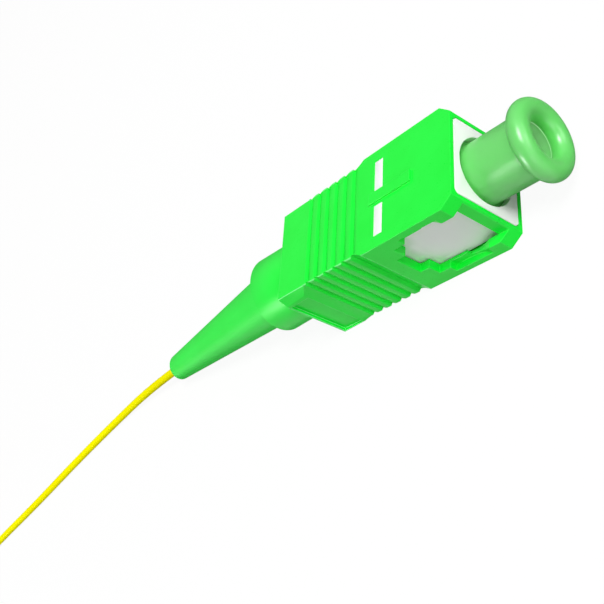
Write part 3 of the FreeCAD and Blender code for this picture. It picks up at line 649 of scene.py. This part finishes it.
def rounded_copy(node, name, width, materials, body, carve=None, left_sharp=nowhere):
    """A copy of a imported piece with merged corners, joined flats and a narrow bevel on its edges. The last
    of its materials goes on the bevels. Carve may change the copy's shape before its flats are joined, and
    where left_sharp says so, flats stay apart and edges get no bevel."""
    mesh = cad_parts[node].data.copy()
    mesh.name = name
    work = bmesh.new()
    work.from_mesh(mesh)
    bmesh.ops.remove_doubles(work, verts=work.verts, dist=COPY_MERGE)
    if carve:
        carve(work, mesh)
    plain = [vert for vert in work.verts if not left_sharp(vert.co)]
    flats = [edge for edge in work.edges if not any(left_sharp(vert.co) for vert in edge.verts)]
    bmesh.ops.dissolve_limit(work, angle_limit=FLAT_LIMIT, verts=plain, edges=flats)
    weigh_edges(work, left_sharp)
    work.to_mesh(mesh)
    work.free()
    mesh.materials.clear()
    for material in materials:
        mesh.materials.append(material)
    piece = bpy.data.objects.new(name, mesh)
    bpy.context.scene.collection.objects.link(piece)
    mesh.shade_smooth()
    mesh.set_sharp_from_angle(angle=SHARP_LIMIT)
    bevel = piece.modifiers.new("rounded_edges", "BEVEL")
    bevel.width = width
    bevel.segments = 2
    bevel.limit_method = "WEIGHT"
    bevel.use_clamp_overlap = False
    bevel.harden_normals = True
    bevel.material = len(materials) - 1
    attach(piece, body)
    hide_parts(node)
    print(name, "faces before the bevel:", len(mesh.polygons))


# %% [markdown]
# ## The grip
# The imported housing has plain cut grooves. On the real grip each rib is shaped like a roof tile: a flat top,
# a slope that falls away to the rear, and a short step up to the next rib, which is what fingers push on.
# The outline is a sum that gives the depth below the flat tops at any distance behind the front face. All
# the numbers here are in millimetres.

# %% Grip outline
GRIP_START, GRIP_DIP, GRIP_INSET = 9.2, 10.58, 0.3
NOSE_END = 9.36
RIB_FIRST, RIB_PITCH, RIB_COUNT = 10.66, 1.115, 6
RIB_FLAT, RIB_STEP, RIB_DEEP = 0.42, 0.16, 0.23
RIB_CURVE, ENTRY_CURVE = 1.5, 1.6
GRIP_END = 16.4
rib_tops = RIB_FIRST + RIB_PITCH * np.arange(RIB_COUNT)


def rib_depth(s):
    """Depth of the tile outline below the flat tops: 0 on a flat, growing behind it with a power of the
    share of the slope that is passed, and back to 0 over the short step, whose ends are rounded."""
    place = (s - RIB_FIRST) % RIB_PITCH
    slope = (RIB_PITCH - RIB_STEP) - RIB_FLAT
    falling = RIB_DEEP * np.clip((place - RIB_FLAT) / slope, 0, 1) ** RIB_CURVE
    rising = RIB_DEEP * s_step((RIB_PITCH - place) / RIB_STEP)
    inside = (s > RIB_FIRST - slope - RIB_STEP) & (s < rib_tops[-1])
    return np.where(inside, np.minimum(falling, rising), 0)


def side_depth(s):
    """Depth below the housing's side: a dip that starts steeply behind the nose, as a power of the share
    that is left of it shows, then the inset ribs."""
    left = 1 - np.clip((s - NOSE_END) / (GRIP_DIP - NOSE_END), 0, 1)
    entry = (GRIP_INSET + RIB_DEEP) * (1 - left ** ENTRY_CURVE)
    return np.where(s < RIB_FIRST - RIB_STEP, entry, GRIP_INSET + rib_depth(s))


print("rib tops, mm behind the front face:", rib_tops.round(3).tolist())

# %% [markdown]
# The copy is sliced across at every place where that outline bends, and along the rails that run beside the
# ribs on the top and the base, so that there are points to move. Then array sums move the points of the
# outer faces all at once: those that lie further out than a reach, on faces that look that way. The rear
# block's side panel gets thinner rims in the same pass.

# %% Slicing and moving the grip's points
SIDE_REACH, TOP_REACH = 3.97, 3.47
TOP_SHARE = 0.6
RAIL_NEAR, RAIL_FAR = 3.93, 3.96
HOUSING_SIDE, HOUSING_TOP = 4.5, 3.7
PANEL_START, PANEL_END, PANEL_BOTTOM, PANEL_DEEP = 17.4, 19.6, 3.45, 0.35
RIM_CUT, RIM_NEAR = 0.14, 0.01
SLOPE_SLICES, STEP_SLICES, ENTRY_SLICES = 6, 4, 12
SLICE_MERGE = 1e-4 * MM
FACING = 0.7


def touched_by_faces(mesh, axis):
    """True for the points of faces that look mostly along an axis."""
    normals = np.empty(len(mesh.polygons) * 3)
    mesh.polygons.foreach_get("normal", normals)
    facing = np.abs(normals.reshape(-1, 3)[:, axis]) > FACING
    sizes = np.empty(len(mesh.polygons), int)
    mesh.polygons.foreach_get("loop_total", sizes)
    corners = np.empty(len(mesh.loops), int)
    mesh.loops.foreach_get("vertex_index", corners)
    touched = np.zeros(len(mesh.vertices), bool)
    touched[corners[np.repeat(facing, sizes)]] = True
    return touched


def grip_slices():
    """Places and directions of the cuts: across X over the entry and each rib, across Y at the rails."""
    slopes = np.linspace(RIB_FLAT, RIB_PITCH - RIB_STEP, SLOPE_SLICES)
    steps = RIB_PITCH - RIB_STEP * np.linspace(1, 0, STEP_SLICES + 1)[1:]
    ribs = (rib_tops[:-1, None] + np.concatenate([slopes, steps])[None, :]).ravel()
    entry = [GRIP_START, *np.linspace(NOSE_END, RIB_FIRST - RIB_STEP, ENTRY_SLICES)]
    slices = [((front_x - s * MM, 0, 0), (1, 0, 0)) for s in (*entry, RIB_FIRST, *ribs, GRIP_END)]
    rails = [side * edge * MM for side in (-1, 1) for edge in (RAIL_NEAR, RAIL_FAR)]
    return slices + [((0, y, 0), (0, 1, 0)) for y in rails]


def carve_grip(work, mesh):
    """Slices the copy, then moves its outer points. A side point's Y becomes the side less its depth. A top
    or base point's Z becomes the top less a share of the rib's depth, which fades to nothing on the rails.
    Points on the side panel's lower and rear rims move outwards, which leaves those rims thinner."""
    slices = grip_slices()
    for place, across in slices:
        everything = work.verts[:] + work.edges[:] + work.faces[:]
        bmesh.ops.bisect_plane(work, geom=everything, dist=SLICE_MERGE, plane_co=place, plane_no=across)
    work.to_mesh(mesh)
    points = np.empty(len(mesh.vertices) * 3)
    mesh.vertices.foreach_get("co", points)
    points = points.reshape(-1, 3)
    s, y, z = (front_x - points[:, 0]) / MM, points[:, 1] / MM, (points[:, 2] - axis_z) / MM
    in_grip = (s > GRIP_START) & (s < GRIP_END)
    sideways = touched_by_faces(mesh, axis=1) & in_grip & (np.abs(y) > SIDE_REACH)
    upwards = touched_by_faces(mesh, axis=2) & in_grip & (np.abs(z) > TOP_REACH)
    rail = np.clip((RAIL_FAR - np.abs(y)) / (RAIL_FAR - RAIL_NEAR), 0, 1)
    outermost = HOUSING_SIDE - side_depth(s)
    new_y = np.sign(y) * np.where(sideways, outermost, np.minimum(np.abs(y), outermost))
    new_z = np.sign(z) * (HOUSING_TOP - rib_depth(s) * rail * TOP_SHARE)
    points[:, 1] = np.where(sideways | upwards, new_y, y) * MM
    points[:, 2] = np.where(upwards, new_z, z) * MM + axis_z
    on_panel = (s > PANEL_START) & (np.abs(y) > HOUSING_SIDE - PANEL_DEEP)
    points[:, 2] -= np.where(on_panel & (np.abs(z + PANEL_BOTTOM) < RIM_NEAR), RIM_CUT, 0) * MM
    points[:, 0] -= np.where(on_panel & (np.abs(s - PANEL_END) < RIM_NEAR), RIM_CUT, 0) * MM
    mesh.vertices.foreach_set("co", points.ravel())
    work.clear()
    work.from_mesh(mesh)
    print("grip sliced", len(slices), "times; points moved:", int((sideways | upwards).sum()))


# %% [markdown]
# The housing takes the carving. Its grip keeps its edges, because the slices already bend them, and every
# other edge of it and of the frame gets the narrow bevel.

# %% Housing and frame
GRIP_MARGIN = 0.05


def on_grip(place):
    """Whether a place is behind the nose's rear edge and in front of the rear block."""
    return NOSE_END + GRIP_MARGIN < (front_x - place.x) / MM < GRIP_END + GRIP_MARGIN


rounded_copy(
    "outer_housing",
    "housing_shell",
    0.05 * MM,
    [housing_green, edge_highlight_green],
    "housing",
    carve=carve_grip,
    left_sharp=on_grip,
)
rounded_copy("plug_frame", "frame_block", 0.06 * MM, [frame_white], "core")

# %% [markdown]
# ## Round pieces
# A round piece is a surface of two parameters: how far along a profile, and how far round the axis. The
# profile is a short list of corners, in millimetres from the front face and from the axis, and each corner
# may be rounded by an arc. All the points then come from one array sum. Where a profile touches the axis, a
# whole ring of points falls on one place and becomes a pole.

# %% Profiles and surfaces of revolution
COLUMNS = 128


def fillet(before, corner, after, radius, count=6):
    """Points of the arc that rounds one corner of a profile. Its middle lies on the line that halves the
    corner, as far out as the radius over the sine of half the corner's angle."""
    before, corner, after = map(np.asarray, (before, corner, after))
    back = (before - corner) / np.linalg.norm(before - corner)
    ahead = (after - corner) / np.linalg.norm(after - corner)
    half = math.acos(np.clip(back @ ahead, -1, 1)) / 2
    middle = corner + (back + ahead) / np.linalg.norm(back + ahead) * radius / math.sin(half)
    first, last = corner + back * radius / math.tan(half), corner + ahead * radius / math.tan(half)
    share = np.linspace(0, 1, count)[:, None]
    chord = first + (last - first) * share - middle
    return middle + chord / np.linalg.norm(chord, axis=1)[:, None] * radius


def profile(corners):
    """A closed profile from (along, radius, rounding) corners, in millimetres."""
    places = [np.array(corner[:2], float) for corner in corners]
    parts = []
    for index, corner in enumerate(corners):
        before, after = places[index - 1], places[(index + 1) % len(places)]
        rounding = corner[2]
        parts.append(fillet(before, places[index], after, rounding) if rounding else places[index][None])
    return np.vstack(parts) * MM


def revolved(outline):
    """A profile turned round the connector's axis: x stays, and radius goes round as y and z."""
    angle = np.arange(COLUMNS) / COLUMNS * TURN
    along, radius = outline[:, 0][:, None], outline[:, 1][:, None]
    x = front_x + along + 0 * angle
    return np.stack([x, radius * np.cos(angle), axis_z + radius * np.sin(angle)], axis=-1)


# %% [markdown]
# ## The boot
# The boot is one soft moulding: a round base that the housing slides over, and a long smooth tail that keeps
# the fibre from bending sharply. Behind the reach of the sliding housing the base swells a little. The tail
# hangs by its own weight, so the profile is turned about the axis first, and then every point behind the
# pivot is turned downwards, by an angle that grows smoothly across the shoulder.

# %% Boot
BASE_FRONT, SWELL_START, BASE_REAR, TAIL_END = -16.45, -21.50, -25.25, -46.30
BASE_RADIUS, SWELL_RADIUS, NECK_RADIUS, TIP_RADIUS = 3.40, 3.50, 2.62, 1.385
SOCKET_FLOOR, SOCKET_RADIUS = -22.43, 2.27
TUBE_END, TUBE_RADIUS = -24.40, 0.80
BORE_START, BORE_RADIUS = -24.60, 0.505
BOOT_PIVOT = -24.4 * MM
BOOT_SAG = math.radians(5.4)
SAG_START, SAG_LENGTH = 0.1 * MM, 0.9 * MM

boot_profile = profile([
    (BASE_FRONT, SOCKET_RADIUS, 0),
    (BASE_FRONT, BASE_RADIUS, 0.1),
    (SWELL_START, BASE_RADIUS, 0),
    (BASE_REAR, SWELL_RADIUS, 0.09),
    (BASE_REAR, NECK_RADIUS, 0.25),
    (TAIL_END, TIP_RADIUS, 0.32),
    (TAIL_END, BORE_RADIUS, 0.12),
    (BORE_START, BORE_RADIUS, 0),
    (TUBE_END, TUBE_RADIUS, 0),
    (SOCKET_FLOOR, TUBE_RADIUS, 0),
    (SOCKET_FLOOR, SOCKET_RADIUS, 0),
])
boot_points = revolved(boot_profile)
from_pivot = boot_points[..., 0] - front_x - BOOT_PIVOT
sag = BOOT_SAG * s_step((-from_pivot - SAG_START) / SAG_LENGTH)
across = boot_points[..., 2] - axis_z
boot_points[..., 0] = front_x + BOOT_PIVOT + from_pivot * np.cos(sag) + across * np.sin(sag)
boot_points[..., 2] = axis_z + across * np.cos(sag) + from_pivot * np.sin(sag)
boot = grid_piece("strain_boot", boot_points, boot_green, "core")
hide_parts("boot")

# %% [markdown]
# ## The dust cap
# The cap is a soft, slightly see-through tube that grips the ferrule, with a wider collar behind and a thick
# rounded ring in front to pull it by. The ring is part of a circle in the profile, carried round the axis
# with the rest, and inside the ring the mould leaves a pocket.

# %% Dust cap
RING_ALONG, RING_AWAY, RING_ROUND, RING_POINTS = 4.95, 2.38, 0.82, 48
SLEEVE_RADIUS = 2.42
POCKET_FLOOR, POCKET_RADIUS = 2.6, 1.72
COLLAR_REAR, COLLAR_FRONT, COLLAR_RADIUS = -3.2, -0.50, 2.70
BORE_END, CAP_BORE_RADIUS = 1.7, 1.2695

ring_start = math.asin((SLEEVE_RADIUS - RING_AWAY) / RING_ROUND)
ring_end = TURN + math.asin((POCKET_RADIUS - RING_AWAY) / RING_ROUND)
ring_angle = np.linspace(ring_start, ring_end, RING_POINTS)
ring_corners = np.column_stack([
    RING_ALONG - RING_ROUND * np.cos(ring_angle),
    RING_AWAY + RING_ROUND * np.sin(ring_angle),
    0 * ring_angle,
])
cap_profile = profile([
    (COLLAR_REAR, CAP_BORE_RADIUS, 0.05),
    (COLLAR_REAR, COLLAR_RADIUS, 0.1),
    (COLLAR_FRONT, COLLAR_RADIUS, 0.08),
    (COLLAR_FRONT, SLEEVE_RADIUS, 0.1),
    *ring_corners.tolist(),
    (POCKET_FLOOR, POCKET_RADIUS, 0.12),
    (POCKET_FLOOR, 0.0, 0),
    (BORE_END, 0.0, 0),
    (BORE_END, CAP_BORE_RADIUS, 0),
])
cap = grid_piece("pull_cap", revolved(cap_profile), cap_green, "cap")
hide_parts("dust_cap")

# %% [markdown]
# ## Painted bars
# Two white bars beside the key show which way round the plug goes, and how far it has clicked in. They are
# paint in two shallow beds, so each is a thin slab with rounded corners and a soft upper edge. Its outline
# is one array of points round a rectangle, stacked at three heights and closed above and below.

# %% Painted bars
BAR_FRONT, BAR_REAR = 7.13, 8.02
BAR_NEAR, BAR_FAR = 0.71, 3.42
BAR_FLOOR, BAR_TOP = 3.60, 3.685
BAR_EDGE, BAR_CORNER = 0.02, 0.05


def painted_bar(name, side):
    """One bar on the side of +Y or -Y: outline at the bed, just under the top, and drawn in at the top."""
    near, far = sorted((side * BAR_NEAR, side * BAR_FAR))
    low, high = (front_x / MM - BAR_REAR, near), (front_x / MM - BAR_FRONT, far)
    rings = []
    for height, inset in [(BAR_FLOOR, 0.0), (BAR_TOP - BAR_EDGE, 0.0), (BAR_TOP, BAR_EDGE)]:
        outline = rounded_rectangle(np.add(low, inset), np.subtract(high, inset), BAR_CORNER)
        rings.append(np.column_stack([outline, np.full(len(outline), axis_z / MM + height)]))
    points = np.stack(rings) * MM
    grid_piece(name, points, mark_white, "housing", close_rows=False, lids=True)


painted_bar("bar_left", 1)
painted_bar("bar_right", -1)

# %% [markdown]
# ## Finishes of the hidden pieces
# The ferrule's tip shows when the cap is pulled, and its flange, the spring and the rear body stay inside.
# Each still gets what it is made of: ground ceramic, turned and plated metal, drawn wire, a slippery tube.

# %% Hidden finishes
zirconia = moulded_finish(
    "zirconia",
    linear(240, 238, 230),
    linear(246, 244, 238),
    gloss=0.14,
    grain_height=0.001 * MM,
    grain_scale=20000.0,
)
ptfe = moulded_finish(
    "ptfe",
    linear(236, 238, 238),
    linear(244, 246, 246),
    gloss=0.38,
    grain_height=0.003 * MM,
    grain_scale=6000.0,
)
silica = moulded_finish(
    "silica",
    linear(225, 235, 236),
    linear(235, 242, 242),
    gloss=0.05,
    grain_height=0.0,
    grain_scale=6000.0,
)
RING_PITCH, RING_DEEP = 0.05 * MM, 0.0012 * MM
PATCH_SCALE, PATCH_GLOSS, METAL_GLOSS = 2500.0, 0.14, 0.2


def turned_metal(name, colour):
    """Metal from a lathe: fine rings across the axis, a sine wave along it, in the bump, and patches in the
    gloss."""
    material, start = start_finish(name)
    place = object_place(start)
    along = separate(place)[0]
    rings = (along * (TURN / RING_PITCH)).math("SINE") * 0.5 + 0.5
    patches = noise(place, PATCH_SCALE, detail=3.0)
    close_finish(start, {
        "Base Color": colour,
        "Metallic": 1.0,
        "Roughness": patches * PATCH_GLOSS + METAL_GLOSS,
        "Normal": bump(rings, RING_DEEP),
    })
    return material


nickel = turned_metal("nickel", linear(206, 203, 196))
spring_steel = turned_metal("spring_steel", linear(188, 188, 190))
hidden_finishes = {
    "ferrule": zirconia,
    "glass_fibre": silica,
    "ferrule_flange": nickel,
    "spring": spring_steel,
    "stop_body": nickel,
    "guide_tube": ptfe,
    "buffered_fibre": buffer_yellow,
}
for node, finish in hidden_finishes.items():
    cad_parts[node].data.materials.clear()
    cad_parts[node].data.materials.append(finish)
print("hidden pieces finished:", len(hidden_finishes))

# %% [markdown]
# ## The spring
# The spring stands between the rear body and the flange, and gets shorter when the ferrule is pushed back.
# This copy of it has its doubled corners merged and a mesh of its own, and rides with the core. It stays
# stiff, and a stiff copy would cut into the flange.

spring_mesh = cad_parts["spring"].data.copy()
spring_mesh.name = "spring_coil"
work = bmesh.new()
work.from_mesh(spring_mesh)
bmesh.ops.remove_doubles(work, verts=work.verts, dist=COPY_MERGE)
work.to_mesh(spring_mesh)
work.free()
spring_coil = bpy.data.objects.new("spring_coil", spring_mesh)
bpy.context.scene.collection.objects.link(spring_coil)
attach(spring_coil, "core")
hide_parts("spring")
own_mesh(spring_coil)

# %% [markdown]
# ## Table and light
# The table is a plain white sheet. To the camera it shines almost as white as paper, and only its shadow
# shows; for all other light it is a mid grey, which sends a little soft light up to the undersides. In
# reflections alone its far side is dim, as if a dark card lay there, so that glossy faces that mirror it
# keep their colour.

# %% Table
TABLE_HALF = 3.0
TABLE_BOUNCE = 0.38
TABLE_SEEN = 0.99
TABLE_SHINE = 0.94
CARD_NEAR_EDGE, CARD_BLUR, CARD_SHADE = -4.0 * MM, 0.8 * MM, 0.85


def seen_rays(start):
    """1 for rays that carry a picture of the surroundings, and 0 for rays that only carry light."""
    names = ("Is Camera Ray", "Is Glossy Ray", "Is Transmission Ray")
    rays = [start.node("ShaderNodeLightPath", output=name) for name in names]
    return (rays[0] + rays[1] + rays[2]).math("MINIMUM", 1.0)


table_mesh = bpy.data.meshes.new("table")
table_corners = np.array([(-1, -1, 0), (1, -1, 0), (1, 1, 0), (-1, 1, 0)]) * TABLE_HALF
table_mesh.from_pydata(table_corners.tolist(), [], [(0, 1, 2, 3)])
table = bpy.data.objects.new("table", table_mesh)
bpy.context.scene.collection.objects.link(table)

table_finish, start = start_finish("table_white")
seen = seen_rays(start)
bounce, white = (TABLE_BOUNCE,) * 3 + (1.0,), (TABLE_SEEN,) * 3 + (1.0,)
paper = start.node("ShaderNodeBsdfDiffuse", {"Color": seen.mix(bounce, white)})
across = separate(object_place(start))[1]
card = across.smooth(CARD_NEAR_EDGE - CARD_BLUR, CARD_NEAR_EDGE + CARD_BLUR)
reflected = start.node("ShaderNodeLightPath", output="Is Glossy Ray")
glow = 1.0 - reflected * card * CARD_SHADE
shine = start.node("ShaderNodeEmission", {"Color": (1.0, 1.0, 1.0, 1.0), "Strength": glow})
both = start.node("ShaderNodeMixShader", {0: seen * TABLE_SHINE, 1: paper, 2: shine})
start.node("ShaderNodeOutputMaterial", {"Surface": both})
table_mesh.materials.append(table_finish)
print("table metres wide:", 2 * TABLE_HALF)

# %% [markdown]
# An even, weak sky fills the shadows. Seen directly it is white. In reflections it is a little dimmer, and
# much dimmer low down on the far side, above the card. Reflections alone also see a bright panel behind the
# near side, which gives the rounded edges that face it their highlights.

# %% Sky
SKY_LIGHT = 0.24
SKY_DIM = 0.2
FAR_RISE, LOW_FALL = (0.0, 0.3), (0.15, 0.55)
REAR_PANEL = (-0.70, -0.66, 0.24)
PANEL_EDGE = (0.955, 0.985)
PANEL_GLOW = 11.0

sky = bpy.data.worlds.new("sky")
sky.use_nodes = True
sky.node_tree.nodes.clear()
start = Wire(sky.node_tree)
direction = separate(object_place(start))
far_and_low = direction[1].smooth(*FAR_RISE) * (1.0 - direction[2].smooth(*LOW_FALL))
reflected = start.node("ShaderNodeLightPath", output="Is Glossy Ray")
towards = direction[0] * REAR_PANEL[0] + direction[1] * REAR_PANEL[1] + direction[2] * REAR_PANEL[2]
panel = towards.smooth(*PANEL_EDGE) * PANEL_GLOW
glow = 1.0 - reflected * (far_and_low * (CARD_SHADE - SKY_DIM) + SKY_DIM - panel)
sky_strength = seen_rays(start) * (1.0 - SKY_LIGHT) * glow + SKY_LIGHT
sky_shader = start.node("ShaderNodeBackground", {"Color": (1.0, 1.0, 1.0, 1.0), "Strength": sky_strength})
start.node("ShaderNodeOutputWorld", {"Surface": sky_shader})
bpy.context.scene.world = sky
print("sky fills shadows with", SKY_LIGHT, "of its white")

# %% [markdown]
# Four soft lamps stand round the connector. The key lamp hangs high in front and casts the soft shadow. A
# wider one in front lights the end faces, one on the near side lights the flank, and a weak one behind the
# near side stands where the sky's bright panel is.

# %% Lamps
LAMP_DISTANCE = 0.7


def soft_lamp(name, direction, size, strength):
    """A square lamp that faces the connector from a direction. Strength is the shade that it alone gives a
    white face turned towards it, so its watts are pi squared times strength times distance squared."""
    data = bpy.data.lights.new(name, "AREA")
    data.shape = "SQUARE"
    data.size = size
    data.energy = strength * math.pi ** 2 * LAMP_DISTANCE ** 2
    lamp = bpy.data.objects.new(name, data)
    away = Vector(direction).normalized()
    lamp.location = away * LAMP_DISTANCE
    lamp.rotation_euler = away.to_track_quat("Z", "Y").to_euler()
    bpy.context.scene.collection.objects.link(lamp)
    print(name, "watts:", round(data.energy, 2))


soft_lamp("key_lamp", (0.50, -0.05, 0.86), size=0.26, strength=0.80)
soft_lamp("front_lamp", (0.95, 0.06, 0.29), size=0.40, strength=0.30)
soft_lamp("near_lamp", (0.55, -0.82, 0.15), size=0.40, strength=0.16)
soft_lamp("rear_lamp", REAR_PANEL, size=0.14, strength=0.12)
